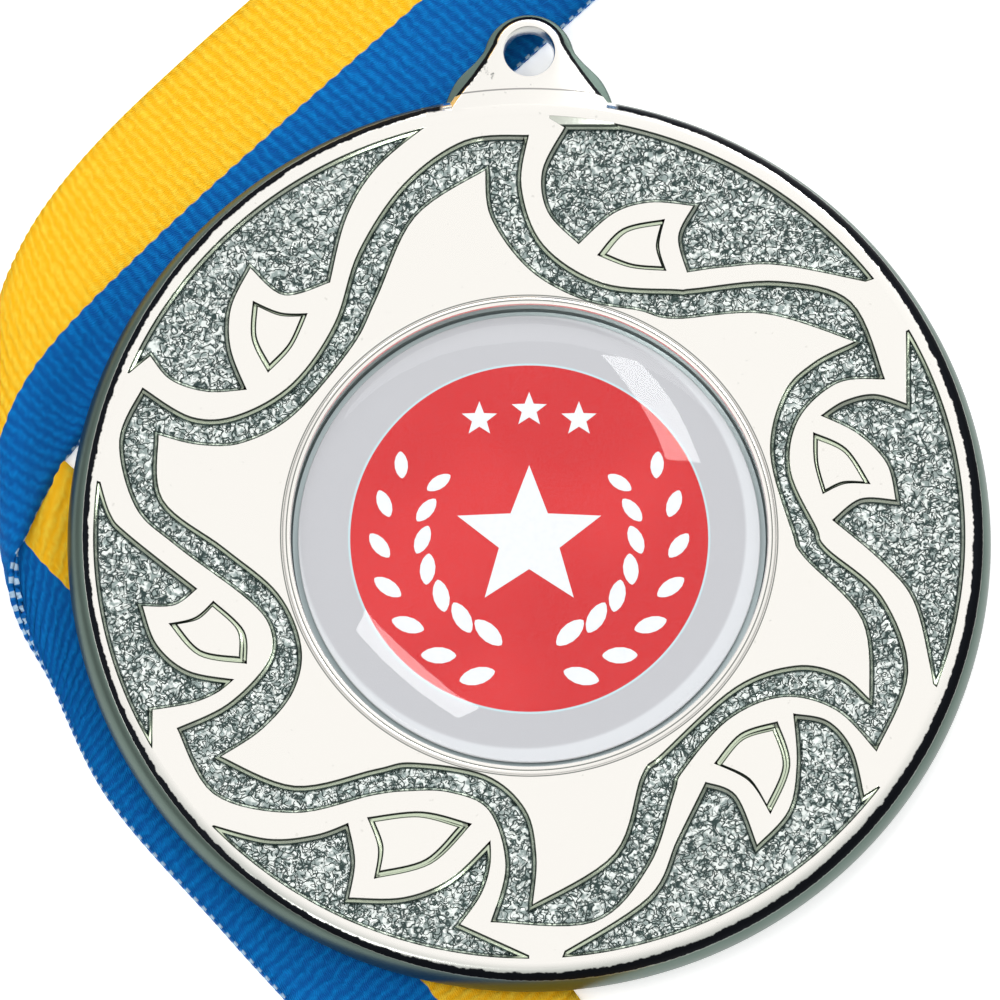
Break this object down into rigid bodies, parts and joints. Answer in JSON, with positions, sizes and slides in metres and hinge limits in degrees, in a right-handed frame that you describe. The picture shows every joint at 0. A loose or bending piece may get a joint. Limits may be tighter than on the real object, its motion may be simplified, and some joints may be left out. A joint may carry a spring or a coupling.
{
  "type": "prize medal with neck ribbon",
  "caption": "Round cast prize medal with a swirling sun relief and a domed resin centre, lying on its folded two-colour neck ribbon with a wire clip.",
  "frame": {"origin": "middle of the medal's flat back face", "axes": "+Z out of the medal's front face, +Y from the middle of the medal to its ribbon hole, +X to the right seen from the front"},
  "size_m": [0.0608, 0.1177, 0.0062],
  "materials": {
    "antique_silver": "antique silver plate, polished high areas over a dark pebbled ground",
    "foam_pad": "double-sided adhesive foam",
    "printed_label": "printed vinyl, red disc on grey",
    "clear_resin": "clear cast polyurethane",
    "ribbon_weave": "ribbed woven ribbon, half yellow and half blue",
    "paper": "plain paper band",
    "thread": "polyester sewing thread",
    "bright_wire": "bright nickel-plated spring wire"
  },
  "bodies": {
    "ribbon": {"ribbon_run": "ribbon_weave", "ribbon_stack": "ribbon_weave", "paper_band": "paper", "ribbon_hem": "ribbon_weave", "hem_stitching": "thread"},
    "medal": {"medal_body": "antique_silver", "adhesive_pad": "foam_pad", "label_disc": "printed_label", "resin_dome": "clear_resin"},
    "clip": {"wire_clip": "bright_wire"}
  },
  "joints": [
    {"name": "medal_lift", "type": "slide", "parent": "ribbon", "child": "medal", "axis": [0, 0, 1], "range_m": [0, 0.03]},
    {"name": "clip_swing", "type": "hinge", "parent": "ribbon", "child": "clip", "pos_m": [0.00813, -0.04288, 0.00008], "axis": [-0.7627, -0.6468, 0], "range_deg": [0, 150]}
  ]
}
